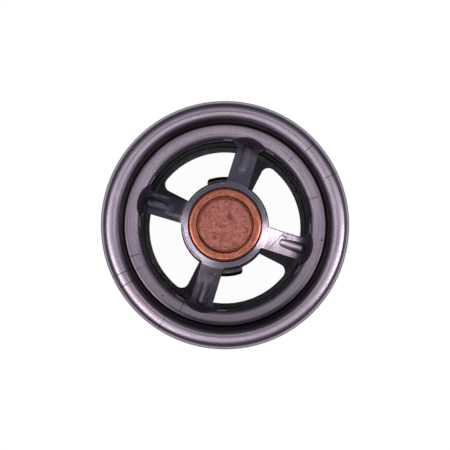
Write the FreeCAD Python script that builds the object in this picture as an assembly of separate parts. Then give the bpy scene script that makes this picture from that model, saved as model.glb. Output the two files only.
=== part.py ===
import FreeCAD, Part
import math
import os

from FreeCAD import Vector

# Temperature controlled sleeve valve of an engine cooling circuit.
# Millimetres, +Z along the valve axis towards the capsule's closed end. The pieces are drawn
# from the plane where the flange gasket meets its housing, and are then lifted so that the
# finished valve stands on Z = 0, with its axis through the origin.
# At rest the valve is cold: the sleeve stands on the gasket in the floor of the rear cage.

# Valve sleeve: most radii outside it are worked out from it
sleeve_inner_r = 18.5
sleeve_wall = 0.8
sleeve_rim_round = 0.3
valve_stroke = 8.0
stroke_reserve = 0.6

# Flange ring: one sheet, rolled over a bead and drawn down into a neck
flange_sheet = 1.2
flange_height = 5.0
flange_edge_lift = 0.6
bead_width = 5.0
neck_bend = 0.9
neck_shoulder_gap = 0.15
neck_floor_gap = 0.1

# Gasket held in the channel under the bead
gasket_clearance = 0.05

# Front bridge: pressed ring, four ribbed legs and a conical hub that guides the capsule
bridge_sheet = 1.0
press_clearance = 0.02
bridge_ring_top = 3.6
bridge_ring_dish = 0.3
bridge_skirt_bottom = -0.4
bridge_outer_bend = 0.05
bridge_lip_inset = 0.1
bridge_lip_bend = 1.0
bridge_root_edge = 1.35
bridge_root_scoop = 6.2
bridge_root_lean = 1.15
bridge_valley_z = -0.6
bridge_hub_top = 6.1
bridge_hub_slope = 20.0
bridge_hub_width = 0.85
bridge_knee_width = 1.3
bridge_knee_bend = 2.0
leg_width = 4.9
leg_count = 4
leg_turn = 73.0
leg_flare = 1.1
leg_hub_corner = 1.0
rib_radius = 1.6
rib_height = 0.6
rib_start_height = 0.22
rib_knee_gap = 3.3
rib_lip_gap = 1.5

# Wax capsule, which carries the sleeve
cup_outer_r = 8.0
cup_wall = 0.8
cup_shoulder_z = 8.2
cup_shoulder_round = 0.75
cup_step_r = 5.6
cup_step_height = 1.2
cup_step_round = 0.25
cup_groove_width = 0.6
cup_groove_depth = 0.2
cup_lip_width = 0.8
guide_clearance = 0.1

# Return spring between the bridge hub and the retainer, a little wider at the retainer
spring_wire = 1.0
spring_clearance = 0.5
spring_spread = 0.25
spring_length = 18.8
spring_turns = 7.25
spring_end_turns = 0.9
spring_ground = 0.2
spring_seat_gap = 0.03
spring_start_turn = 233.0

# Retainer with two ears under the spring
retainer_thickness = 1.4
retainer_margin = 0.05
retainer_hole_gap = 0.15
retainer_round = 0.35
ear_width = 6.8
ear_reach = 1.35
ear_corner = 0.8
ear_turn = 93.0
ear_round = 1.0

# Spider that ties the sleeve to the capsule
spider_sheet = 1.0
spider_hole_gap = 0.05
spider_hub_bend = 1.5
spider_drop = 2.5
spider_wall_bend = 0.9
spider_tab_length = 3.6
spider_weld_gap = 0.02
spider_leg_width = 3.9
spider_hub_corner = 0.6

# Seal stack clamped in the neck
stack_width = 2.7
spacer_wall = 0.95
seal_depth = 10.5
seal_height = 3.0
seal_base = 1.7
seal_lip_thickness = 1.1
seal_clearance = 0.06
seal_lip_bevel = 0.3
seal_lip_bevel_height = 0.2
seal_lip_round = 0.15
seal_heel_round = 0.3
washer_thickness = 0.8
washer_clearance = 0.4

# Rear cage: flange, side ports, seat, spokes and threaded boss, from one sheet
cage_sheet = 1.0
cage_wall_gap = 0.4
cage_rim_gap = 0.35
cage_flange_bend = 0.7
cage_seat_z = -30.0
cage_seat_bend = 1.3
cage_seat_land = 1.3
cage_boss_land = 4.6
cage_spoke_width = 3.4
cage_turn = 63.0
cage_window_corner = 1.7
port_top_land = 1.5
port_bottom_land = 1.6
port_corner = 1.5
cage_leg_width = 8.0
boss_r = 4.0
boss_height = 3.0
boss_bend = 0.8

# Gasket in the floor of the cage, under the sleeve
seat_gasket_thickness = 0.8
seat_gasket_inset = 0.1
seat_gasket_round = 0.15
seat_gap = 0.05

# Calibration plug in the boss, and the piston that stands in it
thread_clearance = 0.03
plug_recess = 0.4
plug_rise = 0.4
plug_chamfer = 0.3
plug_slot_width = 1.0
plug_slot_depth = 1.0
socket_depth = 2.0
piston_r = 2.25
piston_clearance = 0.05
piston_foot_round = 0.3
piston_round = 0.8
piston_top_z = 2.6

# Guide body, boot and small seals of the capsule
crimp_wall = 0.55
boot_wall = 1.3
boot_flange = 0.8
boot_root_round = 0.4
boot_top_gap = 0.3
guide_web = 1.3
guide_web_round = 0.4
guide_nose_wall = 2.3
guide_nose_round = 0.8
guide_tip_wall = 1.4
guide_tip_round = 0.4
guide_tip_gap = 0.8
backup_width = 1.65
backup_thickness = 0.9
wiper_section = 0.7
wiper_depth = 1.0
wax_bevel = 0.5
fill_clearance = 0.05

# Radii worked out from the sizes above
sleeve_outer_r = sleeve_inner_r + sleeve_wall
neck_inner_r = sleeve_outer_r + stack_width
stack_r = neck_inner_r - press_clearance
flange_outer_r = neck_inner_r + bead_width
cage_inner_r = sleeve_outer_r + cage_wall_gap
neck_shoulder_r = cage_inner_r + cage_sheet + neck_shoulder_gap
cage_window_outer_r = sleeve_inner_r - cage_seat_land
cage_window_inner_r = boss_r + cage_boss_land
bridge_lip_r = sleeve_inner_r - bridge_lip_inset
hub_bore_r = cup_outer_r + guide_clearance
bridge_window_r = hub_bore_r + bridge_hub_width
bridge_knee_r = hub_bore_r + bridge_knee_width
bridge_lip_mid_r = bridge_lip_r + bridge_sheet / 2
bridge_root_r = bridge_lip_r + bridge_root_edge
bridge_scoop_center_r = bridge_root_r - bridge_root_scoop
rib_start_r = bridge_knee_r + rib_knee_gap
rib_end_r = bridge_lip_r - rib_lip_gap
spring_top_r = cup_outer_r + spring_clearance + spring_wire / 2
spring_foot_r = spring_top_r + spring_spread
retainer_r = spring_foot_r + spring_wire / 2 + retainer_margin
ear_tip_r = retainer_r + ear_reach
cup_lip_r = cup_outer_r + cup_lip_width
cup_bore_r = cup_outer_r - cup_wall
crimp_inner_r = cup_lip_r + fill_clearance
crimp_outer_r = crimp_inner_r + crimp_wall
bore_r = piston_r + piston_clearance
boot_outer_r = bore_r + boot_wall
backup_r = bore_r + backup_width
guide_nose_r = bore_r + guide_nose_wall
guide_tip_r = bore_r + guide_tip_wall
plug_r = boss_r - thread_clearance

# Heights worked out from the sizes above
hub_slope = math.radians(bridge_hub_slope)
hub_middle_z = bridge_hub_top - bridge_sheet / 2 / math.cos(hub_slope)
knee_middle_z = hub_middle_z - bridge_knee_width * math.tan(hub_slope)
leg_slope = math.atan2(bridge_valley_z - knee_middle_z, bridge_lip_mid_r - bridge_knee_r)
spring_rim_r = spring_top_r + spring_wire / 2
leg_fall = (spring_rim_r - bridge_knee_r) * math.tan(leg_slope)
spring_seat_z = knee_middle_z + leg_fall - bridge_sheet / 2 / math.cos(leg_slope) - spring_seat_gap
retainer_top = spring_seat_z - spring_length
retainer_bottom = retainer_top - retainer_thickness
spider_hub_bottom = retainer_bottom - spider_sheet
crimp_top = spider_hub_bottom
cup_lip_top = crimp_top - crimp_wall
cup_lip_bottom = cup_lip_top - cup_wall
boot_flange_bottom = cup_lip_bottom - boot_flange
guide_web_bottom = boot_flange_bottom - guide_web
seal_top = -seal_depth
seal_bottom = seal_top - seal_height
washer_bottom = seal_bottom - washer_thickness
cage_flange_bottom = washer_bottom - cage_sheet
neck_shoulder_top = cage_flange_bottom - neck_floor_gap
cage_base_z = cage_seat_z - cage_sheet
boss_top = cage_base_z + boss_height + cage_sheet
plug_bottom = cage_base_z + plug_recess
plug_top = boss_top + plug_rise
guide_tip_z = plug_top + guide_tip_gap
sleeve_top = bridge_valley_z - bridge_sheet / 2 - stroke_reserve - valve_stroke
seat_gasket_top = cage_seat_z + seat_gasket_thickness
sleeve_bottom = seat_gasket_top + seat_gap
boot_bore_top = piston_top_z + boot_top_gap

axis_point = Vector(0, 0, 0)
axis_direction = Vector(0, 0, 1)
leg_step = 360.0 / leg_count


def closed_outline(corners, place):
    # A closed wire through corners (a, b, radius), each rounded by its own radius.
    points = [Vector(a, b, 0) for a, b, _ in corners]
    count = len(points)
    stops = []
    for i, (_, _, radius) in enumerate(corners):
        here = points[i]
        back = (points[i - 1] - here).normalize()
        onward = (points[(i + 1) % count] - here).normalize()
        if radius <= 0:
            stops.append((here, here, None))
            continue
        half = back.getAngle(onward) / 2
        middle = (back + onward).normalize()
        setback = radius / math.tan(half)
        crown = here + middle * (radius / math.sin(half) - radius)
        stops.append((here + back * setback, here + onward * setback, crown))
    edges = []
    for i, (entry, leave, crown) in enumerate(stops):
        if crown is not None:
            edges.append(Part.Arc(place(entry), place(crown), place(leave)).toShape())
        following = stops[(i + 1) % count][0]
        if (following - leave).Length > 1e-6:
            edges.append(Part.LineSegment(place(leave), place(following)).toShape())
    return Part.Wire(edges)


def in_section(point):
    # Radius and height become a point of the half plane that is turned about the axis.
    return Vector(point.x, 0, point.y)


def turned(corners):
    # A body of revolution about the valve axis from section corners (r, z, radius).
    return Part.Face(closed_outline(corners, in_section)).revolve(axis_point, axis_direction, 360)


def sheet_section(path, thickness):
    # Section corners of a sheet bent along a middle line of (r, z, bend radius).
    half = thickness / 2
    points = [Vector(r, z, 0) for r, z, _ in path]
    ways = [(b - a).normalize() for a, b in zip(points, points[1:])]
    sides = [Vector(-way.y, way.x, 0) for way in ways]
    left = [(points[0] + sides[0] * half, 0)]
    right = [(points[0] - sides[0] * half, 0)]
    for i in range(1, len(points) - 1):
        before, after = sides[i - 1], sides[i]
        mitre = (before + after) * (half / (1 + before.dot(after)))
        turn = 1 if ways[i - 1].cross(ways[i]).z > 0 else -1
        bend = path[i][2]
        left.append((points[i] + mitre, max(bend - turn * half, 0)))
        right.append((points[i] - mitre, max(bend + turn * half, 0)))
    left.append((points[-1] + sides[-1] * half, 0))
    right.append((points[-1] - sides[-1] * half, 0))
    return [(p.x, p.y, radius) for p, radius in left + right[::-1]]


def tube(inner_r, outer_r, low, high):
    return turned([(inner_r, low, 0), (outer_r, low, 0), (outer_r, high, 0), (inner_r, high, 0)])


def spun(shape, angle):
    # A copy of the shape turned about the valve axis.
    copy = shape.copy()
    copy.rotate(axis_point, axis_direction, angle)
    return copy


def around(shape, count, first_angle):
    return [spun(shape, first_angle + i * 360.0 / count) for i in range(count)]


def radial_bars(width, reach, low, high, first_angle):
    # Bars from the axis outwards, one for each leg.
    bar = Part.makeBox(reach, width, high - low, Vector(0, -width / 2, low))
    bars = around(bar, leg_count, first_angle)
    return bars[0].fuse(bars[1:])


def rounded_uprights(solid, inner_round, outer_round, split_r):
    # Rounds a prism's upright edges, with one radius near the axis and one further out.
    near, far = [], []
    for edge in solid.Edges:
        a, b = edge.Vertexes[0].Point, edge.Vertexes[-1].Point
        if abs(a.z - b.z) > 1e-6 and math.hypot(a.x - b.x, a.y - b.y) < 1e-6:
            (near if math.hypot(a.x, a.y) < split_r else far).append(edge)
    if far and outer_round > 0:
        solid = solid.makeFillet(outer_round, far)
        return rounded_uprights(solid, inner_round, 0, split_r) if inner_round > 0 else solid
    return solid.makeFillet(inner_round, near) if near and inner_round > 0 else solid


def window_prisms(inner_r, outer_r, bar_width, first_angle, low, high, inner_round, outer_round):
    # The four openings that a die punches between the bars of a spider.
    ring = tube(inner_r, outer_r, low, high)
    openings = ring.cut(radial_bars(bar_width, outer_r + 1, low, high, first_angle)).Solids
    split_r = (inner_r + outer_r) / 2
    return [rounded_uprights(opening, inner_round, outer_round, split_r) for opening in openings]


def one_solid(shape):
    # Joins the faces that a boolean has split, and checks that one sound solid is left.
    clean = shape.removeSplitter()
    if len(clean.Solids) != 1 or not clean.isValid():
        raise ValueError("a piece is not one valid solid")
    return clean.Solids[0]


def flange_ring():
    half = flange_sheet / 2
    outer_mid = flange_outer_r - half
    neck_mid = neck_inner_r + half
    crest_mid = flange_height - half
    bead_bend = (outer_mid - neck_mid) / 2
    shoulder_mid = neck_shoulder_top - half
    path = [
        (outer_mid, flange_edge_lift, 0),
        (outer_mid, crest_mid, bead_bend),
        (neck_mid, crest_mid, bead_bend),
        (neck_mid, shoulder_mid, neck_bend),
        (neck_shoulder_r, shoulder_mid, 0),
    ]
    return turned(sheet_section(path, flange_sheet))


def flange_gasket():
    inner = neck_inner_r + flange_sheet + gasket_clearance
    outer = flange_outer_r - flange_sheet - gasket_clearance
    crown = (outer - inner) / 2
    top = flange_height - flange_sheet - gasket_clearance
    return turned([(inner, 0, 0), (outer, 0, 0), (outer, top, crown), (inner, top, crown)])


def round_bar(start, end, radius):
    # A bar with two round ends, lying between two points.
    rod = Part.makeCylinder(radius, start.distanceToPoint(end), start, end - start)
    return rod.fuse([Part.makeSphere(radius, start), Part.makeSphere(radius, end)])


def ring_middle(r):
    # Height of the middle of the bridge ring's sheet, which dips towards the axis.
    skirt_mid_r = stack_r - bridge_sheet / 2
    dip = bridge_ring_dish * (skirt_mid_r - r) / (skirt_mid_r - bridge_lip_mid_r)
    return bridge_ring_top - bridge_sheet / 2 - dip


def leg_middle(r):
    # Height of the middle of a leg's sheet at a radius.
    return knee_middle_z + (r - bridge_knee_r) * math.tan(leg_slope)


def leg_rib(radius):
    # The swelling of a rib, of which only the part above the middle of the sheet is kept.
    # Its crest starts low near the knee and climbs towards the root.
    outward_down = Vector(math.sin(leg_slope), 0, -math.cos(leg_slope))
    sink = rib_radius - bridge_sheet / 2
    start = Vector(rib_start_r, 0, leg_middle(rib_start_r)) + outward_down * (sink - rib_start_height)
    end = Vector(rib_end_r, 0, leg_middle(rib_end_r)) + outward_down * (sink - rib_height)
    near_r = rib_start_r - 2 * rib_radius
    far_r = rib_end_r + 2 * rib_radius
    above = turned([
        (near_r, leg_middle(near_r), 0),
        (far_r, leg_middle(far_r), 0),
        (far_r, leg_middle(near_r) + rib_radius, 0),
        (near_r, leg_middle(near_r) + rib_radius, 0),
    ])
    return round_bar(start, end, radius), above


def root_scoop(growth, low, high):
    # The leaning round wall at a leg's root, as the cone that it would cut out of a block.
    edge_z = ring_middle(bridge_root_r) + bridge_sheet / 2
    foot_z = leg_middle(bridge_root_r - bridge_root_lean) + bridge_sheet / 2 / math.cos(leg_slope)
    lean = bridge_root_lean / (edge_z - foot_z)
    radius = bridge_root_scoop + growth * math.hypot(1, lean)
    low_r = radius - (edge_z - low) * lean
    high_r = radius + (high - edge_z) * lean
    return Part.makeCone(low_r, high_r, high - low, Vector(bridge_scoop_center_r, 0, low))


def front_bridge():
    # The ring ends in a rounded lip with a short skirt. A leg's root is a scooped, leaning wall.
    low = leg_middle(stack_r) - 2 * bridge_sheet
    high = bridge_hub_top + 2 * bridge_sheet
    skirt_mid_r = stack_r - bridge_sheet / 2
    inside_r = hub_bore_r - bridge_sheet
    split_r = bridge_scoop_center_r + bridge_root_scoop / 3
    windows = window_prisms(
        bridge_window_r, bridge_lip_r, leg_width, leg_turn, low, high, leg_hub_corner, leg_flare,
    )
    scoops = around(root_scoop(0, low, high), leg_count, leg_turn)
    backs = around(root_scoop(bridge_sheet, low, high), leg_count, leg_turn)
    ring = turned(sheet_section([
        (skirt_mid_r, bridge_skirt_bottom, 0),
        (skirt_mid_r, ring_middle(skirt_mid_r), bridge_outer_bend),
        (bridge_lip_mid_r, ring_middle(bridge_lip_mid_r), bridge_lip_bend),
        (bridge_lip_mid_r, bridge_valley_z, 0),
    ], bridge_sheet)).cut(scoops)
    root_space = turned([
        (split_r, leg_middle(split_r), 0),
        (skirt_mid_r, leg_middle(skirt_mid_r), 0),
        (skirt_mid_r, ring_middle(skirt_mid_r), 0),
        (split_r, ring_middle(split_r), 0),
    ])
    walls = [root_space.common(back).cut(scoop).cut(windows) for back, scoop in zip(backs, scoops)]
    beyond = tube(split_r, stack_r, low, high).cut(backs)
    legs = turned(sheet_section([
        (skirt_mid_r, leg_middle(skirt_mid_r), 0),
        (bridge_knee_r, knee_middle_z, bridge_knee_bend),
        (inside_r, hub_middle_z + (hub_bore_r - inside_r) * math.tan(hub_slope), 0),
    ], bridge_sheet)).cut(windows).cut(beyond)
    swelling, above = leg_rib(rib_radius)
    hollow, _ = leg_rib(rib_radius - bridge_sheet)
    ribs = around(swelling.common(above), leg_count, leg_turn)
    hollows = around(hollow, leg_count, leg_turn)
    bore = Part.makeCylinder(hub_bore_r, high - low, Vector(0, 0, low))
    return one_solid(ring.fuse(walls).fuse(legs).fuse(ribs).cut(hollows).cut(bore))


def seal_spacer():
    return tube(stack_r - spacer_wall, stack_r, seal_top, bridge_skirt_bottom)


def seal_ring():
    lip_r = sleeve_outer_r + seal_clearance
    base_r = stack_r - seal_base
    return turned([
        (lip_r, seal_bottom + seal_lip_thickness, seal_lip_round),
        (lip_r, seal_bottom + seal_lip_bevel_height, 0),
        (lip_r + seal_lip_bevel, seal_bottom, 0),
        (stack_r, seal_bottom, 0),
        (stack_r, seal_top, 0),
        (base_r, seal_top, seal_heel_round),
        (base_r, seal_bottom + seal_lip_thickness, seal_heel_round),
    ])


def seal_washer():
    return tube(sleeve_outer_r + washer_clearance, stack_r, washer_bottom, seal_bottom)


def rear_cage():
    half = cage_sheet / 2
    wall_mid = cage_inner_r + half
    floor_mid = cage_seat_z - half
    boss_mid = boss_r + half
    path = [
        (neck_inner_r - cage_rim_gap, washer_bottom - half, 0),
        (wall_mid, washer_bottom - half, cage_flange_bend),
        (wall_mid, floor_mid, cage_seat_bend),
        (boss_mid, floor_mid, boss_bend),
        (boss_mid, boss_top, 0),
    ]
    shell = turned(sheet_section(path, cage_sheet))
    windows = window_prisms(
        cage_window_inner_r, cage_window_outer_r, cage_spoke_width, cage_turn,
        cage_base_z - cage_sheet, cage_seat_z + cage_sheet, cage_window_corner, cage_window_corner,
    )

    # Side ports, one between each pair of cage legs.
    port_angle = math.radians(leg_step) - cage_leg_width / wall_mid
    port_width = 2 * wall_mid * math.sin(port_angle / 2)
    port_low = cage_seat_z + port_bottom_land
    port_high = cage_flange_bottom - port_top_land
    reach = 2 * wall_mid
    port = Part.makeBox(reach, port_width, port_high - port_low, Vector(boss_r, -port_width / 2, port_low))
    along_x = [e for e in port.Edges if abs(e.Vertexes[0].X - e.Vertexes[1].X) > 1e-6]
    port = port.makeFillet(port_corner, along_x)
    ports = around(port, leg_count, cage_turn + leg_step / 2)
    return one_solid(shell.cut(windows + ports))


def seat_gasket():
    inner = cage_window_outer_r + seat_gasket_inset
    outer = cage_inner_r - cage_seat_bend
    return turned([
        (inner, cage_seat_z, 0),
        (outer, cage_seat_z, 0),
        (outer, seat_gasket_top, seat_gasket_round),
        (inner, seat_gasket_top, seat_gasket_round),
    ])


def calibration_plug():
    socket_r = piston_r + piston_clearance
    socket_floor = plug_top - socket_depth
    body = turned([
        (0, plug_bottom, 0),
        (plug_r - plug_chamfer, plug_bottom, 0),
        (plug_r, plug_bottom + plug_chamfer, 0),
        (plug_r, plug_top - plug_chamfer, 0),
        (plug_r - plug_chamfer, plug_top, 0),
        (socket_r, plug_top, 0),
        (socket_r, socket_floor, 0),
        (0, socket_floor, 0),
    ])
    slot = Part.makeBox(
        3 * plug_r, plug_slot_width, plug_slot_depth,
        Vector(-1.5 * plug_r, -plug_slot_width / 2, plug_bottom),
    )
    return one_solid(body.cut(slot))


def piston():
    foot = plug_top - socket_depth
    return turned([
        (0, foot, 0),
        (piston_r, foot, piston_foot_round),
        (piston_r, piston_top_z, piston_round),
        (0, piston_top_z, 0),
    ])


def valve_sleeve():
    return turned([
        (sleeve_inner_r, sleeve_bottom, 0),
        (sleeve_outer_r, sleeve_bottom, sleeve_rim_round),
        (sleeve_outer_r, sleeve_top, sleeve_rim_round),
        (sleeve_inner_r, sleeve_top, sleeve_rim_round),
    ])


def sleeve_spider():
    half = spider_sheet / 2
    hub_mid = spider_hub_bottom + half
    tab_mid = sleeve_inner_r - spider_weld_gap - half
    path = [
        (cup_outer_r + spider_hole_gap, hub_mid, 0),
        (retainer_r + spider_sheet, hub_mid, spider_hub_bend),
        (tab_mid, hub_mid - spider_drop, spider_wall_bend),
        (tab_mid, hub_mid - spider_drop - spider_tab_length, 0),
    ]
    shell = turned(sheet_section(path, spider_sheet))
    low = hub_mid - spider_drop - spider_tab_length - spider_sheet
    gaps = window_prisms(
        retainer_r, sleeve_outer_r, spider_leg_width, leg_turn,
        low, hub_mid + spider_sheet, spider_hub_corner, 0,
    )
    return one_solid(shell.cut(gaps))


def retainer_blank(outer_r, edge_round):
    # A plate with its upper outer edge rounded.
    hole_r = cup_outer_r + retainer_hole_gap
    return turned([
        (hole_r, retainer_bottom, 0),
        (outer_r, retainer_bottom, 0),
        (outer_r, retainer_top, edge_round),
        (hole_r, retainer_top, 0),
    ])


def spring_retainer():
    # The ears are the part of a wider plate, bent down at its rim, that two straight cuts leave.
    bar = Part.makeBox(
        4 * ear_tip_r, ear_width, 3 * retainer_thickness,
        Vector(-2 * ear_tip_r, -ear_width / 2, retainer_bottom - retainer_thickness),
    )
    reach = Part.makeCylinder(ear_tip_r, 3 * retainer_thickness, Vector(0, 0, bar.BoundBox.ZMin))
    outline = rounded_uprights(bar.common(reach), 0, ear_corner, retainer_r)
    ears = retainer_blank(ear_tip_r, ear_round).common(spun(outline, ear_turn))
    return one_solid(retainer_blank(retainer_r, retainer_round).fuse(ears))


def return_spring():
    # The wire's middle line runs down from the hub: slowly through the end turns, steadily
    # and widening between them.
    rise_end = spring_wire * spring_end_turns
    end_sink = spring_wire / 2 - spring_ground
    middle_turns = spring_turns - 2 * spring_end_turns
    middle_rise = spring_length - 2 * end_sink - 2 * rise_end
    pitch = middle_rise / middle_turns
    widening = math.atan2(spring_spread, middle_rise)

    def coil(first_turn, turns, start, rise_per_turn, start_r, angle):
        slant = math.cos(angle)
        height = rise_per_turn * turns / slant
        helix = Part.makeHelix(rise_per_turn / slant, height, start_r, math.degrees(angle))
        helix.translate(Vector(0, 0, start))
        helix.rotate(axis_point, axis_direction, 360 * first_turn)
        return helix.Edges[0]

    last_turn = spring_turns - spring_end_turns
    last_rise = spring_length - end_sink - rise_end
    middle_line = Part.Wire([
        coil(0, spring_end_turns, end_sink, spring_wire, spring_top_r, 0),
        coil(spring_end_turns, middle_turns, end_sink + rise_end, pitch, spring_top_r, widening),
        coil(last_turn, spring_end_turns, last_rise, spring_wire, spring_foot_r, 0),
    ])
    first = middle_line.Edges[0]
    begin = first.valueAt(first.FirstParameter)
    heading = first.tangentAt(first.FirstParameter)
    wire_section = Part.Wire(Part.makeCircle(spring_wire / 2, begin, heading))
    whole = middle_line.makePipeShell([wire_section], True, True)
    ground = tube(cup_outer_r, spring_foot_r + 2 * spring_wire, 0, spring_length)
    spring = whole.common(ground)
    spring.rotate(axis_point, Vector(1, 0, 0), 180)
    spring.rotate(axis_point, axis_direction, spring_start_turn)
    spring.translate(Vector(0, 0, spring_seat_z))
    return one_solid(spring)


def capsule_cup():
    step_top = cup_shoulder_z + cup_step_height
    groove_r = cup_step_r + cup_groove_width
    groove_z = cup_shoulder_z - cup_groove_depth
    ceiling = cup_shoulder_z - cup_wall - cup_groove_depth
    return turned([
        (cup_bore_r, cup_lip_bottom, 0),
        (cup_lip_r, cup_lip_bottom, 0),
        (cup_lip_r, cup_lip_top, 0),
        (cup_outer_r, cup_lip_top, 0),
        (cup_outer_r, cup_shoulder_z, cup_shoulder_round),
        (groove_r, cup_shoulder_z, 0),
        (groove_r - cup_groove_depth, groove_z, 0),
        (cup_step_r, groove_z, 0),
        (cup_step_r, step_top, cup_step_round),
        (0, step_top, 0),
        (0, ceiling, 0),
        (cup_bore_r, ceiling, cup_wall),
    ])


def capsule_guide():
    backup_floor = boot_flange_bottom - backup_thickness
    wiper_top = guide_tip_z + wiper_depth + wiper_section
    wiper_low = guide_tip_z + wiper_depth
    groove_r = bore_r + wiper_section
    return turned([
        (cup_outer_r + fill_clearance, crimp_top, 0),
        (crimp_outer_r, crimp_top, crimp_wall),
        (crimp_outer_r, guide_web_bottom, guide_web_round),
        (guide_nose_r, guide_web_bottom, guide_nose_round),
        (guide_tip_r, guide_tip_z, guide_tip_round),
        (bore_r, guide_tip_z, 0),
        (bore_r, wiper_low, 0),
        (groove_r, wiper_low, 0),
        (groove_r, wiper_top, 0),
        (bore_r, wiper_top, 0),
        (bore_r, backup_floor, 0),
        (backup_r, backup_floor, 0),
        (backup_r, boot_flange_bottom, 0),
        (crimp_inner_r, boot_flange_bottom, 0),
        (crimp_inner_r, cup_lip_top, 0),
        (cup_outer_r + fill_clearance, cup_lip_top, 0),
    ])


def rubber_boot():
    crown = boot_bore_top + boot_wall
    return turned([
        (bore_r, boot_flange_bottom, 0),
        (cup_lip_r, boot_flange_bottom, 0),
        (cup_lip_r, cup_lip_bottom, 0),
        (boot_outer_r, cup_lip_bottom, boot_root_round),
        (boot_outer_r, crown, boot_wall),
        (0, crown, 0),
        (0, boot_bore_top, 0),
        (bore_r, boot_bore_top, piston_round),
    ])


def wax_charge():
    outer = cup_bore_r - fill_clearance
    inner = boot_outer_r + fill_clearance
    low = cup_lip_bottom + fill_clearance
    ceiling = cup_shoulder_z - cup_wall - cup_groove_depth - fill_clearance
    hollow_top = boot_bore_top + boot_wall + fill_clearance
    return turned([
        (inner + wax_bevel, low, 0),
        (outer, low, 0),
        (outer, ceiling, cup_wall),
        (0, ceiling, 0),
        (0, hollow_top, 0),
        (inner, hollow_top, boot_wall),
        (inner, low + wax_bevel, 0),
    ])


def backup_washer():
    top = boot_flange_bottom - fill_clearance / 2
    return tube(bore_r, backup_r - fill_clearance, top - backup_thickness + fill_clearance, top)


def guide_wiper():
    low = guide_tip_z + wiper_depth
    middle_r = bore_r + wiper_section / 2
    return Part.makeTorus(middle_r, wiper_section / 2, Vector(0, 0, low + wiper_section / 2))


makers = [
    flange_ring, flange_gasket, front_bridge, seal_spacer, seal_ring, seal_washer,
    rear_cage, seat_gasket, calibration_plug, piston, valve_sleeve, sleeve_spider, spring_retainer,
    return_spring, capsule_cup, capsule_guide, rubber_boot, wax_charge, backup_washer,
    guide_wiper,
]

os.makedirs("parts", exist_ok=True)
for make in makers:
    solid = make()
    solid.translate(Vector(0, 0, -cage_base_z))
    if not solid.isValid() or solid.Volume <= 0:
        raise ValueError(make.__name__ + " is not a sound solid")
    solid.exportStep(os.path.join("parts", make.__name__ + ".step"))
    box = solid.BoundBox
    print(make.__name__, round(solid.Volume, 2), "mm3, z", round(box.ZMin, 2), "to", round(box.ZMax, 2))
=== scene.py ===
import bpy, math
from mathutils import Matrix, Vector


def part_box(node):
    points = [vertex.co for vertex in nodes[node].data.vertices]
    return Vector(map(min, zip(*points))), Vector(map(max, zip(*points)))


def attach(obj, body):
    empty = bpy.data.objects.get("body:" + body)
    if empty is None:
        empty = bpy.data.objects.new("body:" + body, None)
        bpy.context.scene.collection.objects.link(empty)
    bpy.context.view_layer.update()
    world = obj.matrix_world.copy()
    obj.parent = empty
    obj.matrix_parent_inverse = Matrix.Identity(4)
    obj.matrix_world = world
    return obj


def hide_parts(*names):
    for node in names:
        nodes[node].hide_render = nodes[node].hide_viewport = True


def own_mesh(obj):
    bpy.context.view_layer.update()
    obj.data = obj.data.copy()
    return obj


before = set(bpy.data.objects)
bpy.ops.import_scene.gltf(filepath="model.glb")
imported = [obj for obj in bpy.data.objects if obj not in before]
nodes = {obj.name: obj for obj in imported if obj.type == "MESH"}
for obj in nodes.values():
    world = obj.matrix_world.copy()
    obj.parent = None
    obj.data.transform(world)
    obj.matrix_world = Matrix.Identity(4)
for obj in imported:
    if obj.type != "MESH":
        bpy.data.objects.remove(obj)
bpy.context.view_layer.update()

print("frame loaded")

mm = 0.001
scene = bpy.context.scene
scene.view_settings.view_transform = "Standard"


# Short helpers that wire a node tree, for shaders and for geometry

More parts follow.
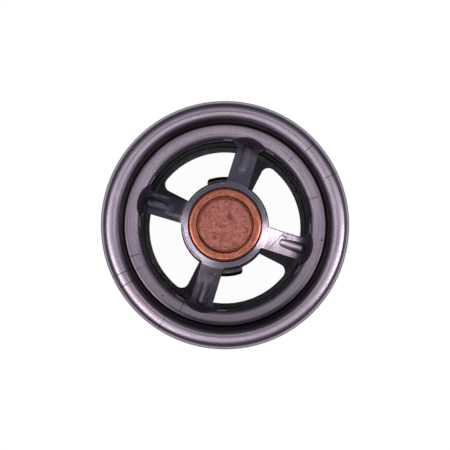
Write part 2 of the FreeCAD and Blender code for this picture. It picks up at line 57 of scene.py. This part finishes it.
class NodeTree:
    def __init__(self, tree):
        self.tree = tree
        self.tree.nodes.clear()

    def put(self, value, socket):
        if isinstance(value, bpy.types.NodeSocket):
            self.tree.links.new(value, socket)
        elif value is not None:
            socket.default_value = value

    def add(self, kind, inputs=None, **settings):
        node = self.tree.nodes.new(kind)
        for key, value in settings.items():
            setattr(node, key, value)
        for key, value in (inputs or {}).items():
            self.put(value, node.inputs[key])
        return node

    def math(self, operation, a, b=None, c=None):
        node = self.add("ShaderNodeMath", operation=operation)
        for index, value in enumerate((a, b, c)):
            self.put(value, node.inputs[index])
        return node.outputs[0]

    def vector(self, operation, a, b=None, scale=None):
        node = self.add("ShaderNodeVectorMath", operation=operation)
        self.put(a, node.inputs[0])
        self.put(b, node.inputs[1])
        self.put(scale, node.inputs[3])
        return node.outputs[1 if operation in ("DOT_PRODUCT", "LENGTH", "DISTANCE") else 0]

    def remap(self, value, low, high, outLow=0.0, outHigh=1.0, smooth=False):
        node = self.add("ShaderNodeMapRange", interpolation_type="SMOOTHSTEP" if smooth else "LINEAR")
        for index, item in enumerate((value, low, high, outLow, outHigh)):
            self.put(item, node.inputs[index])
        return node.outputs[0]

    def blend(self, factor, a, b):
        node = self.add("ShaderNodeMix", data_type="RGBA")
        self.put(factor, node.inputs["Factor"])
        self.put(a, next(s for s in node.inputs if s.type == "RGBA" and s.name == "A"))
        self.put(b, next(s for s in node.inputs if s.type == "RGBA" and s.name == "B"))
        return next(s for s in node.outputs if s.type == "RGBA")

    def noise(self, vector, scale, detail=2.0, rough=0.5, w=None):
        node = self.add("ShaderNodeTexNoise", noise_dimensions="3D" if w is None else "4D")
        self.put(vector, node.inputs["Vector"])
        self.put(scale, node.inputs["Scale"])
        self.put(detail, node.inputs["Detail"])
        self.put(rough, node.inputs["Roughness"])
        if w is not None:
            self.put(w, node.inputs["W"])
        return node.outputs[0]

    def product(self, whole, *masks):
        for mask in masks:
            whole = self.math("MULTIPLY", whole, mask)
        return whole

    def union(self, masks):
        whole = masks[0]
        for mask in masks[1:]:
            whole = self.math("MAXIMUM", whole, mask)
        return whole

    def band(self, value, low, high, fade):  # 1 between two values, fading to 0 at both ends
        return self.product(self.remap(value, low - fade, low + fade, smooth=True),
                            self.remap(value, high - fade, high + fade, 1.0, 0.0, smooth=True))


def colour(r, g, b):  # an sRGB colour in 0-255 steps, as Blender's linear values
    return tuple(c / 12.92 if c <= 0.04045 else ((c + 0.055) / 1.055) ** 2.4
                 for c in (r / 255, g / 255, b / 255)) + (1.0,)


# Camera, floor and studio light

shot = dict(
    distance=650 * mm,          # from the flange to the lens
    tilt=1.1,                   # degrees that the lens stands towards -Y, off the valve's axis
    frameWidth=97.6 * mm,       # what the picture spans at the flange
    flangeHeight=34.6 * mm,
)


def makeCamera():
    data = bpy.data.cameras.new("camera")
    data.sensor_width = 36
    data.lens = data.sensor_width * shot["distance"] / shot["frameWidth"]
    data.clip_start = 0.01
    data.clip_end = 20
    camera = bpy.data.objects.new("camera", data)
    scene.collection.objects.link(camera)
    tilt = math.radians(shot["tilt"])
    back = Vector((0, -math.sin(tilt), math.cos(tilt)))
    camera.location = Vector((0, 0, shot["flangeHeight"])) + back * shot["distance"]
    camera.rotation_euler = (tilt, 0, 0)
    scene.camera = camera


paper = dict(
    size=3.0,
    white=0.97, grey=0.62,      # near the valve, and far behind it
    whiteUntil=0.10, greyFrom=0.5,
    catch=0.08,                 # how much of the light and shadow on the paper shows
    bounce=0.75,
)


def makeFloor():
    size = paper["size"]
    mesh = bpy.data.meshes.new("floor")
    corners = [(-size, -size, 0), (size, -size, 0), (size, size, 0), (-size, size, 0)]
    mesh.from_pydata(corners, [], [(0, 1, 2, 3)])
    floor = bpy.data.objects.new("floor", mesh)
    scene.collection.objects.link(floor)
    material = bpy.data.materials.new("paper floor")
    material.use_nodes = True
    t = NodeTree(material.node_tree)
    away = t.vector("LENGTH", t.add("ShaderNodeTexCoord").outputs["Object"])
    far = t.remap(away, paper["whiteUntil"], paper["greyFrom"], smooth=True)
    white, grey = paper["white"], paper["grey"]
    ray = t.add("ShaderNodeLightPath").outputs
    seen = t.math("MAXIMUM", ray["Is Camera Ray"], ray["Is Glossy Ray"])
    seen = t.math("MAXIMUM", seen, ray["Is Transmission Ray"])
    glow = t.add("ShaderNodeEmission", {"Color": t.blend(far, (white,) * 3 + (1,), (grey,) * 3 + (1,))})
    catch = t.add("ShaderNodeBsdfDiffuse", {"Color": (paper["catch"],) * 3 + (1,)})
    shown = t.add("ShaderNodeAddShader", {0: glow.outputs[0], 1: catch.outputs[0]})
    plain = t.add("ShaderNodeBsdfDiffuse", {"Color": (paper["bounce"],) * 3 + (1,)})
    pick = t.add("ShaderNodeMixShader", {0: seen, 1: plain.outputs[0], 2: shown.outputs[0]})
    t.add("ShaderNodeOutputMaterial", {"Surface": pick.outputs[0]})
    mesh.materials.append(material)


# Lamps: clockwise place in the picture and degrees off the axis, how far, size, lean, brightness
lamps = dict(
    rightPanel=dict(turn=102, off=52, far=0.9, wide=0.36, tall=0.52, lean=44, glow=5.0),
    leftPanel=dict(turn=241, off=42, far=0.9, wide=0.85, tall=0.36, lean=0, glow=3.4),
)
lampTint = (1.0, 0.965, 1.0)


def makeLamps():
    middle = Vector((0, 0, 30 * mm))
    for name, lamp in lamps.items():
        data = bpy.data.lights.new(name, "AREA")
        data.shape = "RECTANGLE"
        data.size, data.size_y = lamp["wide"], lamp["tall"]
        data.color = lampTint
        data.energy = lamp["glow"] * lamp["wide"] * lamp["tall"] * math.pi
        turn, off, lean = (math.radians(lamp[key]) for key in ("turn", "off", "lean"))
        away = Vector((math.sin(turn) * math.sin(off), math.cos(turn) * math.sin(off), math.cos(off)))
        across = Vector((math.cos(turn), -math.sin(turn), 0))
        upward = away.cross(across)
        sideways = across * math.cos(lean) + upward * math.sin(lean)
        basis = Matrix((sideways, away.cross(sideways), away)).transposed().to_4x4()
        light = bpy.data.objects.new(name, data)
        light.matrix_world = Matrix.Translation(middle + away * lamp["far"]) @ basis
        light.visible_camera = False
        scene.collection.objects.link(light)


# Studio walls and ceiling by height, with the dark of the camera near the middle of the ceiling
air = dict(
    horizon=0.66, horizonTop=0.075,     # brightness, and how high it reaches
    low=0.13, lowFrom=0.17, lowTop=0.72,
    ceiling=1.25, ceilingFrom=0.92,
    camera=0.40, cameraOff=11, cameraWide=18,
)


def makeWorld():
    world = bpy.data.worlds.new("studio")
    world.use_nodes = True
    scene.world = world
    t = NodeTree(world.node_tree)
    toward = t.add("ShaderNodeTexCoord").outputs["Generated"]
    height = t.add("ShaderNodeSeparateXYZ", {0: toward}).outputs["Z"]
    wall = t.remap(height, air["horizonTop"], air["lowFrom"], air["horizon"], air["low"], smooth=True)
    ceiling = t.remap(height, air["lowTop"], air["ceilingFrom"], 0, 1, smooth=True)
    off = math.radians(air["cameraOff"])
    near = t.vector("DOT_PRODUCT", toward, (0, math.sin(off), math.cos(off)))
    wide = math.radians(air["cameraWide"])
    dark = t.remap(near, math.cos(wide), math.cos(wide * 0.4), 0, 1, smooth=True)
    above = t.math("MULTIPLY_ADD", dark, air["camera"] - air["ceiling"], air["ceiling"] - air["low"])
    level = t.math("MULTIPLY_ADD", ceiling, above, wall)
    hue = t.blend(t.remap(height, 0.1, 0.25), (1.0, 1.0, 1.0, 1), (0.86, 0.88, 1.08, 1))
    hue = t.blend(ceiling, hue, (1.0, 0.97, 1.0, 1))
    back = t.add("ShaderNodeBackground", {"Color": hue, "Strength": level})
    t.add("ShaderNodeOutputWorld", {"Surface": back.outputs[0]})


makeCamera()
makeFloor()
makeLamps()
makeWorld()
print("camera, floor and light made")


# Metal finishes on Object coordinates, worked in millimetres

def startFinish(name):
    material = bpy.data.materials.new(name)
    material.use_nodes = True
    t = NodeTree(material.node_tree)
    t.material = material
    t.shader = t.add("ShaderNodeBsdfPrincipled")
    t.add("ShaderNodeOutputMaterial", {"Surface": t.shader.outputs[0]})
    t.place = t.vector("SCALE", t.add("ShaderNodeTexCoord").outputs["Object"], scale=1000.0)
    t.x, t.y, t.z = t.add("ShaderNodeSeparateXYZ", {0: t.place}).outputs
    t.flat = t.add("ShaderNodeCombineXYZ", {0: t.x, 1: t.y}).outputs[0]
    t.radius = t.vector("LENGTH", t.flat)
    t.unit = t.vector("NORMALIZE", t.flat)
    return t


def endFinish(t, tint, metallic, rough, bump=None):  # bump is (strength, distance, height)
    t.put(tint, t.shader.inputs["Base Color"])
    t.put(metallic, t.shader.inputs["Metallic"])
    t.put(rough, t.shader.inputs["Roughness"])
    if bump:
        strength, distance, height = bump
        lumps = t.add("ShaderNodeBump", {"Strength": strength, "Distance": distance * mm, "Height": height})
        t.put(lumps.outputs[0], t.shader.inputs["Normal"])
    return t.material


def ringStreaks(t, across, along, seed=0.0):  # grain that follows the turning or drawing
    around = t.vector("SCALE", t.unit, scale=along)
    layers = t.add("ShaderNodeCombineXYZ", {2: t.math("MULTIPLY", t.z, across * 2.2)}).outputs[0]
    vector = t.vector("ADD", around, layers)
    return t.noise(vector, 1.0, 3.0, 0.6, w=t.math("MULTIPLY_ADD", t.radius, across, seed))


def towards(t, turn):  # 1 on the side at this clockwise turn, 0 across it, -1 opposite
    a = math.radians(turn)
    return t.vector("DOT_PRODUCT", t.unit, (math.sin(a), math.cos(a), 0))


# Masks of marks: the note beside each says what the rows of its list hold

def dots(t, places, soft=0.35):  # x, y, radius
    masks = []
    for x, y, size in places:
        gap = t.vector("DISTANCE", t.flat, (x, y, 0))
        masks.append(t.remap(gap, size * (1 - soft), size * (1 + soft), 1.0, 0.0, smooth=True))
    return t.union(masks)


def thinLine(t, aside, half):
    return t.remap(t.math("ABSOLUTE", aside), half * 0.4, half * 1.6, 1.0, 0.0, smooth=True)


def hairlines(t, lines):  # clockwise degrees, inner radius, outer radius, half width
    masks = []
    for turn, start, end, half in lines:
        a = math.radians(turn)
        ahead = t.vector("DOT_PRODUCT", t.flat, (math.sin(a), math.cos(a), 0))
        aside = t.vector("DOT_PRODUCT", t.flat, (math.cos(a), -math.sin(a), 0))
        within = t.product(t.math("GREATER_THAN", ahead, start), t.math("LESS_THAN", ahead, end))
        masks.append(t.product(thinLine(t, aside, half), within))
    return t.union(masks)


def scratches(t, lines):  # x, y, end x, end y, half width
    masks = []
    for x, y, endX, endY, half in lines:
        length = math.hypot(endX - x, endY - y)
        along = ((endX - x) / length, (endY - y) / length, 0)
        gap = t.vector("SUBTRACT", t.flat, (x, y, 0))
        ahead = t.vector("DOT_PRODUCT", gap, along)
        aside = t.vector("DOT_PRODUCT", gap, (along[1], -along[0], 0))
        masks.append(t.product(thinLine(t, aside, half), t.band(ahead, 0.0, length, length * 0.15)))
    return t.union(masks)


blemishAndShade = dict(  # how strongly each kind of mark or painted shade covers the steel, and its colour
    # painted shade under the lip
    underLip=(0.5, colour(46, 42, 50)),
    # painted shade
    edgeShade=(1.0, colour(56, 50, 60)),
    bright=(0.36, colour(205, 198, 212)),
    # painted shade, with more roughness
    dulledAndShaded=(0.5, colour(92, 86, 98)),
    scored=(0.85, colour(40, 34, 38)),
    hairline=(0.95, colour(26, 22, 28)),
    pit=(1.0, colour(16, 13, 18)),
)


def mark(t, tint, mask, kind):
    amount, shade = blemishAndShade[kind]
    return t.blend(t.math("MULTIPLY", mask, amount), tint, shade)


def steelFinish(name, steel, wearAndShade=None):
    wearAndShade = wearAndShade or {}
    t = startFinish(name)
    cloud = t.noise(t.place, 0.16, 3.0, 0.6)
    faceUp = t.remap(t.z, steel["plainBelow"] - 0.5, steel["plainBelow"] + 0.5, 0.3, 1.0)
    streak = ringStreaks(t, 2.6, 2.2)
    wisp = ringStreaks(t, 5.0, 5.0, seed=40.0)
    fine = t.noise(t.place, 3.2, 3.0, 0.65)
    tint = t.blend(t.remap(cloud, 0.4, 0.65), steel["base"], steel["warm"])
    tint = t.blend(t.product(t.remap(streak, 0.45, 0.7, 0.0, 0.5), faceUp), tint, steel["dark"])
    tint = t.blend(t.product(t.remap(wisp, 0.60, 0.72, 0.0, 0.45), faceUp), tint, steel["dark"])
    tint = t.blend(t.remap(fine, 0.52, 0.68, 0.0, 0.55), tint, steel["dark"])
    rough = t.remap(streak, 0.3, 0.7, steel["roughLow"], steel["roughHigh"])
    rough = t.math("ADD", rough, t.remap(fine, 0.3, 0.7, -0.05, 0.08))
    # bands round the axis: painted shade and highlight, and real stains
    if "shadeAndStains" in wearAndShade:
        patch = ringStreaks(t, 1.2, 3.0, seed=11.0)
        for low, high, fade, shade, amount in wearAndShade["shadeAndStains"]:
            cover = t.remap(patch, 0.3, 0.62, amount, amount * 0.75)
            inside = t.product(t.band(t.radius, low, high, fade), cover)
            tint = t.blend(inside, tint, shade)
            rough = t.math("MULTIPLY_ADD", inside, 0.2, rough)
    # patches on one side: painted light and shade
    for turn, wide, low, high, shade, amount in wearAndShade.get("paintedLightAndShade", ()):
        wide = math.radians(wide)
        side = t.remap(towards(t, turn), math.cos(wide), math.cos(wide * 0.7), smooth=True)
        cover = t.remap(fine, 0.35, 0.65, amount, amount * 0.7)
        inside = t.product(side, t.band(t.radius, low, high, 0.7))
        tint = t.blend(t.product(inside, cover), tint, shade)
    if "roots" in wearAndShade:  # painted shade: darker and duller low down in the recesses at the roots of the legs, and under the lip
        root = wearAndShade["roots"]
        depth = t.remap(t.z, root["deepZ"], root["highZ"], 1.0, 0.0, smooth=True)
        cover = t.remap(t.radius, root["startR"], root["fullR"], 0.0, root["amount"], smooth=True)
        inside = t.product(depth, cover)
        tint = t.blend(inside, tint, root["shade"])
        rough = t.math("MULTIPLY_ADD", inside, 0.2, rough)
        under = t.product(t.remap(t.z, 33.95, 34.2, 1.0, 0.0), t.remap(t.radius, 18.2, 18.45, smooth=True),
                          t.remap(t.radius, 19.1, 19.4, 1.0, 0.0))
        tint = mark(t, tint, under, "underLip")
        rough = t.math("MULTIPLY_ADD", under, 0.15, rough)
    if "edgeShadeTurn" in wearAndShade:  # painted shade on one side of the ring's outer edge
        side = t.remap(towards(t, wearAndShade["edgeShadeTurn"]), 0.55, 0.95, smooth=True)
        tint = mark(t, tint, t.product(side, t.band(t.radius, 20.95, 22.5, 0.35)), "edgeShade")
    if "bright" in wearAndShade:
        mask = t.product(scratches(t, wearAndShade["bright"]), t.remap(fine, 0.38, 0.6, 1.0, 0.15))
        tint = mark(t, tint, mask, "bright")
        rough = t.math("MULTIPLY_ADD", mask, 0.25, rough)
    # painted shade over the inner ends of the ribs on the top, bottom and left legs, with rougher steel there
    if "dulledAndShaded" in wearAndShade:
        mask = dots(t, wearAndShade["dulledAndShaded"], 0.5)
        tint = mark(t, tint, mask, "dulledAndShaded")
        rough = t.math("MULTIPLY_ADD", mask, 0.35, rough)
    if "scored" in wearAndShade:
        tint = mark(t, tint, scratches(t, wearAndShade["scored"]), "scored")
    if "hairlines" in wearAndShade:
        broken = t.remap(t.noise(t.place, 1.5, 2.0), 0.3, 0.5)
        upper = t.remap(t.z, steel["plainBelow"] - 1.5, steel["plainBelow"] - 0.5)
        tint = mark(t, tint, t.product(hairlines(t, wearAndShade["hairlines"]), broken, upper), "hairline")
    if "pits" in wearAndShade:
        tint = mark(t, tint, dots(t, wearAndShade["pits"]), "pit")
    grain = t.math("MULTIPLY", fine, steel["grain"])
    height = t.math("ADD", grain, t.math("MULTIPLY", streak, steel["streak"]))
    return endFinish(t, tint, 1.0, rough, (0.25, 0.1, height))


def plainFinish(name, base, dark, metallic, roughLow, roughHigh):
    t = startFinish(name)
    cloud = t.noise(t.place, 0.6, 4.0, 0.6)
    fine = t.noise(t.place, 3.6, 3.0, 0.6)
    tint = t.blend(t.remap(cloud, 0.35, 0.65), base, dark)
    tint = t.blend(t.remap(fine, 0.5, 0.75, 0.0, 0.5), tint, dark)
    return endFinish(t, tint, metallic, t.remap(cloud, 0.3, 0.7, roughLow, roughHigh), (0.3, 0.05, fine))


def sleeveSteel():  # painted shade: black inside, where the bore lies in shade; drawn steel outside
    t = startFinish("valve sleeve steel")
    outside = t.remap(t.radius, 18.75, 18.95)
    cloud = t.noise(t.place, 0.6, 4.0, 0.6)
    inner = t.blend(t.remap(cloud, 0.35, 0.65), colour(32, 31, 38), colour(22, 21, 27))
    grain = t.remap(ringStreaks(t, 3.0, 3.0), 0.35, 0.7)
    outer = t.blend(grain, colour(128, 123, 133), colour(106, 101, 112))
    t.shader.inputs["Specular IOR Level"].default_value = 0.08
    return endFinish(t, t.blend(outside, inner, outer), outside, t.remap(outside, 0, 1, 0.88, 0.34))


copper = dict(
    raisedRadius=5.65,              # edge of the raised end
    spot=(1.12, 1.6, 0.68),         # the dark spot on it: x, y, radius
    shadyTurn=204.8,                # painted shadow cast by the raised end: the groove is darkest on this side
    roughEnd=0.44, roughShoulder=0.25,
)


def copperFinish():
    t = startFinish("worked copper")
    raised = copper["raisedRadius"]
    cloud = t.noise(t.place, 0.55, 4.0, 0.6)
    fine = t.noise(t.place, 1.5, 4.0, 0.7)
    speck = t.noise(t.place, 2.3, 2.0, 0.5, w=3.0)
    level = t.noise(t.vector("MULTIPLY", t.place, (0.9, 5.0, 1.0)), 1.0, 2.0, 0.5, w=9.0)
    swapped = t.add("ShaderNodeCombineXYZ", {0: t.y, 1: t.math("MULTIPLY", t.x, -1.0)}).outputs[0]
    diagonal = t.vector("MULTIPLY", t.vector("ADD", t.place, swapped), (0.8, 3.4, 1.0))
    slant = t.noise(diagonal, 1.0, 2.0, 0.5, w=5.0)
    turned = ringStreaks(t, 3.0, 4.0, seed=7.0)
    face = t.blend(t.remap(cloud, 0.35, 0.65), colour(182, 118, 108), colour(158, 96, 86))
    face = t.blend(t.remap(fine, 0.50, 0.64, 0.0, 0.85), face, colour(112, 60, 50))
    face = t.blend(t.remap(speck, 0.62, 0.74, 0.0, 0.55), face, colour(226, 172, 156))
    side = t.blend(t.remap(turned, 0.35, 0.62), colour(206, 130, 106), colour(164, 96, 78))
    side = t.blend(t.remap(fine, 0.55, 0.72, 0.0, 0.6), side, colour(112, 58, 44))
    tint = t.blend(t.remap(t.radius, raised - 0.1, raised + 0.1, smooth=True), face, side)
    tint = t.blend(t.remap(level, 0.62, 0.68, 0.0, 0.3), tint, colour(236, 186, 168))
    tint = t.blend(t.remap(slant, 0.61, 0.68, 0.0, 0.38), tint, colour(84, 44, 36))
    # painted shade in the groove round the raised end
    groove = t.product(t.band(t.radius, raised, raised + 0.5, 0.1), t.remap(cloud, 0.35, 0.65, 0.75, 0.35))
    tint = t.blend(groove, tint, colour(84, 42, 32))
    # painted shadow of the raised end across the groove on one side
    low = t.remap(towards(t, copper["shadyTurn"]), 0.5, 0.95, 0.0, 0.6, smooth=True)
    low = t.product(low, t.band(t.radius, raised + 0.1, raised + 0.65, 0.1))
    tint = t.blend(low, tint, colour(44, 20, 16))
    # painted shade: a dark line along the cup's rounded outer edge
    edge = t.band(t.radius, 7.72, 8.2, 0.08)
    tint = t.blend(t.math("MULTIPLY", edge, 0.75), tint, colour(62, 30, 26))
    spot = dots(t, [copper["spot"]], 0.4)
    tint = t.blend(t.math("MULTIPLY", spot, 0.6), tint, colour(72, 52, 40))
    rough = t.remap(t.radius, raised - 0.15, raised + 0.25, copper["roughEnd"], copper["roughShoulder"],
                    smooth=True)
    return endFinish(t, tint, 1.0, rough, (0.5, 0.06, fine))


drawnSteel = dict(
    base=colour(170, 158, 175), dark=colour(104, 96, 109), warm=colour(168, 153, 163),
    roughLow=0.19, roughHigh=0.32, grain=0.02, streak=0.03, plainBelow=34.0,
)
pressedSteel = dict(
    base=colour(150, 140, 155), dark=colour(92, 85, 97), warm=colour(148, 135, 142),
    roughLow=0.22, roughHigh=0.36, grain=0.02, streak=0.03, plainBelow=0,
)
# painted shade: the cage sits deep inside the valve, so its steel is painted dark
cageSteel = dict(
    base=colour(86, 83, 94), dark=colour(56, 54, 62), warm=colour(80, 76, 84),
    roughLow=0.3, roughHigh=0.42, grain=0.02, streak=0.02, plainBelow=50,
)

# Bands hold inner radius, outer radius, fade, colour, amount: painted shade and highlight, and real stains;
# patches of painted light and shade have turn and half angle first
flangeWearAndShade = dict(
    hairlines=[
        (47.5, 23.4, 26.4, 0.07), (65, 23.8, 26.9, 0.07), (213, 24, 27, 0.06),
        (239, 22.6, 27, 0.1), (245, 22.8, 27, 0.09)],
    shadeAndStains=[
        # darker down the bead's inner slope
        (22.7, 23.75, 0.3, colour(66, 59, 70), 1.0),
        # painted highlight along the bead's crest
        (24.95, 25.65, 0.15, colour(196, 184, 200), 0.6),
        # painted shade in the groove between bead and ring
        (20.5, 23.1, 0.2, colour(44, 37, 41), 1.0),
        # painted highlight: a thin light line at the foot of the bead
        (22.28, 22.42, 0.06, colour(120, 108, 112), 0.5),
        # painted shade on the bead's outer slope
        (25.85, 26.45, 0.12, colour(50, 45, 55), 0.95),
        # painted shade on the rim of the bead
        (26.7, 27.3, 0.15, colour(66, 59, 70), 0.85)],
)
bridgeWearAndShade = dict(
    hairlines=[
        (45, 19.4, 21.6, 0.07), (73, 19.2, 21.8, 0.1), (208, 18.9, 21.2, 0.07),
        (243, 19.4, 21.8, 0.06), (251.5, 19.4, 21.7, 0.08)],
    pits=[(-13.5, -15.3, 0.17), (21.0, -3.3, 0.2)],
    shadeAndStains=[
        # painted shade on the ring's rounded outer edge
        (20.95, 21.65, 0.25, colour(116, 108, 122), 0.8),
        (21.7, 22.3, 0.12, colour(92, 72, 50), 0.75),
        (18.6, 19.7, 0.2, colour(126, 117, 131), 0.75),
        # painted shade: the legs darker towards their outer ends
        (12.9, 18.4, 0.9, colour(112, 105, 120), 0.7)],
    # painted light and shade, side by side: lighter on the top leg, a painted highlight on the right leg,
    # darker on the left and bottom legs, and darker at one place on the lip
    paintedLightAndShade=[
        (287, 34, 9.9, 17.8, colour(66, 66, 82), 0.9),
        (17, 30, 9.9, 16.5, colour(176, 170, 188), 0.75),
        (197, 26, 13.4, 17.4, colour(76, 70, 84), 0.75),
        (107, 24, 7.8, 15.6, colour(184, 172, 178), 0.7),
        (78, 8, 18.0, 19.2, colour(60, 56, 66), 0.8)],
    # painted shade low in the recesses at the legs' roots
    roots=dict(highZ=34.05, deepZ=33.3, startR=17.2, fullR=18.6, shade=colour(66, 60, 72), amount=0.55),
    # painted shade on this side of the ring's outer edge
    edgeShadeTurn=172,
    # painted shade over the ribs' inner ends: x, y, radius
    dulledAndShaded=[(3.65, 11.9, 0.75), (-3.65, -11.9, 0.75), (-11.9, 3.65, 0.75)],
    bright=[
        (-15.7, 6.7, -12.3, 5.8, 0.13), (-15.2, 5.0, -13.0, 4.3, 0.3), (-12.9, 2.8, -10.9, 1.9, 0.3),
        (-11.3, 2.2, -9.0, 1.5, 0.4), (-5.2, -16.0, -2.6, -11.6, 0.08), (-4.4, -17.0, -3.0, -13.4, 0.07),
        (-3.6, -12.0, -1.6, -10.2, 0.1), (-6.6, -9.0, -5.8, -9.9, 0.18), (-5.9, -14.6, -5.5, -10.9, 0.1)],
    scored=[
        (12.9, -1.6, 9.6, -5.0, 0.08), (12.4, -2.1, 13.4, -2.9, 0.18),
        (9.3, -0.38, 12.8, -1.62, 0.1), (12.8, -1.66, 16.6, -2.8, 0.1)],
)

flangeFinish = steelFinish("drawn steel flange", drawnSteel, flangeWearAndShade)
bridgeFinish = steelFinish("pressed steel bridge", pressedSteel, bridgeWearAndShade)
cageFinish = steelFinish("shade-darkened cage steel", cageSteel)
retainerFinish = plainFinish("retainer steel", colour(120, 114, 124), colour(84, 79, 90), 1.0, 0.28, 0.42)
springFinish = plainFinish("spring wire", colour(166, 160, 170), colour(110, 104, 114), 1.0, 0.2, 0.35)
pistonFinish = plainFinish("ground piston", colour(190, 188, 190), colour(160, 158, 162), 1.0, 0.12, 0.2)
brassFinish = plainFinish("turned brass", colour(196, 160, 92), colour(150, 116, 62), 1.0, 0.25, 0.4)
rubberFinish = plainFinish("black rubber", colour(34, 34, 36), colour(24, 24, 26), 0.0, 0.55, 0.75)
seatFinish = plainFinish("grey seat rubber", colour(164, 162, 176), colour(134, 132, 144), 0.0, 0.6, 0.8)
waxFinish = plainFinish("wax", colour(216, 196, 150), colour(196, 172, 120), 0.0, 0.4, 0.6)
plasticFinish = plainFinish("white plastic", colour(226, 224, 216), colour(206, 204, 196), 0.0, 0.4, 0.5)

finishes = dict(
    flange_ring=flangeFinish, front_bridge=bridgeFinish, rear_cage=cageFinish, valve_sleeve=sleeveSteel(),
    sleeve_spider=cageFinish, spring_retainer=retainerFinish, capsule_cup=copperFinish(),
    capsule_guide=brassFinish, calibration_plug=brassFinish, piston=pistonFinish, rubber_boot=rubberFinish,
    seal_ring=rubberFinish, flange_gasket=rubberFinish, seat_gasket=seatFinish, guide_wiper=rubberFinish,
    wax_charge=waxFinish, backup_washer=plasticFinish, seal_spacer=cageFinish, seal_washer=cageFinish,
    return_spring=springFinish,
)
for name, finish in finishes.items():
    for slot in nodes[name].material_slots:
        slot.material = finish
print("finishes made")


# Return spring: the coil follows a rule, so geometry nodes wind it

spring = dict(
    wire=1.0 * mm,
    turns=7.25, endTurns=0.9,       # the end turns lie close, with a little ground off
    widening=0.25 * mm,             # the foot is that much wider
    ground=0.2 * mm,
    startTurn=233.0,                # degrees, where the wire starts at the hub
    stepsPerTurn=56, sides=16,
    stroke=8 * mm,
)


def springTree():
    tree = bpy.data.node_groups.new("wound spring", "GeometryNodeTree")
    tree.is_modifier = True
    face = tree.interface
    face.new_socket("Geometry", in_out="OUTPUT", socket_type="NodeSocketGeometry")
    sizes = dict(Wire=spring["wire"], Turns=spring["turns"], EndTurns=spring["endTurns"],
                 TopRadius=0.0, Widening=spring["widening"], Ground=spring["ground"],
                 TopZ=0.0, Length=0.0, Start=math.radians(spring["startTurn"]))
    for name, value in sizes.items():
        face.new_socket(name, in_out="INPUT", socket_type="NodeSocketFloat").default_value = value
    face.new_socket("Wire finish", in_out="INPUT", socket_type="NodeSocketMaterial")
    t = NodeTree(tree)
    size = t.add("NodeGroupInput").outputs
    line = t.add("GeometryNodeCurvePrimitiveLine")
    steps = round(spring["turns"] * spring["stepsPerTurn"])
    line = t.add("GeometryNodeResampleCurve", {"Curve": line.outputs[0], "Count": steps})
    turn = t.math("MULTIPLY", t.add("GeometryNodeSplineParameter").outputs["Factor"], size["Turns"])
    lastTurn = t.math("SUBTRACT", size["Turns"], size["EndTurns"])
    openTurns = t.math("SUBTRACT", lastTurn, size["EndTurns"])
    opened = t.math("MINIMUM", t.math("MAXIMUM", t.math("SUBTRACT", turn, size["EndTurns"]), 0.0), openTurns)
    closed = t.math("SUBTRACT", turn, opened)
    sink = t.math("SUBTRACT", t.math("DIVIDE", size["Wire"], 2.0), size["Ground"])
    closedRise = t.math("MULTIPLY", t.math("MULTIPLY", size["EndTurns"], 2.0), size["Wire"])
    wound = t.math("SUBTRACT", size["Length"], t.math("MULTIPLY", sink, 2.0))
    openRise = t.math("SUBTRACT", wound, closedRise)
    share = t.math("DIVIDE", opened, openTurns)
    depth = t.math("ADD", t.math("ADD", sink, t.math("MULTIPLY", closed, size["Wire"])),
                   t.math("MULTIPLY", share, openRise))
    radius = t.math("ADD", size["TopRadius"], t.math("MULTIPLY", share, size["Widening"]))
    angle = t.math("SUBTRACT", size["Start"], t.math("MULTIPLY", turn, 2 * math.pi))
    place = t.add("ShaderNodeCombineXYZ", {
        0: t.math("MULTIPLY", radius, t.math("COSINE", angle)),
        1: t.math("MULTIPLY", radius, t.math("SINE", angle)),
        2: t.math("SUBTRACT", size["TopZ"], depth)})
    coil = t.add("GeometryNodeSetPosition", {"Geometry": line.outputs[0], "Position": place.outputs[0]})
    section = t.add("GeometryNodeCurvePrimitiveCircle", {"Resolution": spring["sides"]})
    t.put(t.math("DIVIDE", size["Wire"], 2.0), section.inputs["Radius"])
    wire = t.add("GeometryNodeCurveToMesh", {"Curve": coil.outputs[0], "Profile Curve": section.outputs[0],
                                             "Fill Caps": True})
    now = t.add("ShaderNodeSeparateXYZ", {0: t.add("GeometryNodeInputPosition").outputs[0]}).outputs
    bottomZ = t.math("SUBTRACT", size["TopZ"], size["Length"])
    flatZ = t.math("MINIMUM", t.math("MAXIMUM", now["Z"], bottomZ), size["TopZ"])
    flat = t.add("ShaderNodeCombineXYZ", {0: now["X"], 1: now["Y"], 2: flatZ})
    ground = t.add("GeometryNodeSetPosition", {"Geometry": wire.outputs[0], "Position": flat.outputs[0]})
    whole = t.add("GeometryNodeRealizeInstances", {0: ground.outputs[0]})
    coated = t.add("GeometryNodeSetMaterial", {"Geometry": whole.outputs[0], "Material": size["Wire finish"]})
    t.add("NodeGroupOutput", {0: coated.outputs[0]})
    return tree


def bakeNodes(name, tree, values):  # runs a tree on an empty mesh and keeps the plain result
    source = bpy.data.objects.new(name + " source", bpy.data.meshes.new(name + " source"))
    scene.collection.objects.link(source)
    modifier = source.modifiers.new(name, "NODES")
    modifier.node_group = tree
    for item in tree.interface.items_tree:
        if item.in_out == "INPUT" and item.name in values:
            modifier[item.identifier] = values[item.name]
    source.update_tag()
    ready = source.evaluated_get(bpy.context.evaluated_depsgraph_get())
    mesh = bpy.data.meshes.new_from_object(ready)
    source.modifiers.remove(modifier)
    bpy.data.objects.remove(source)
    piece = bpy.data.objects.new(name, mesh)
    scene.collection.objects.link(piece)
    return piece


def makeSpring():
    low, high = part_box("return_spring")
    outer = high.x
    topRadius = outer - spring["widening"] - spring["wire"] / 2
    coil = bakeNodes("coil_spring", springTree(), {
        "TopRadius": topRadius, "TopZ": high.z, "Length": high.z - low.z, "Wire finish": springFinish})
    coil.data.shade_smooth()
    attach(coil, "frame")
    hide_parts("return_spring")
    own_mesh(coil)


makeSpring()
print("spring wound")
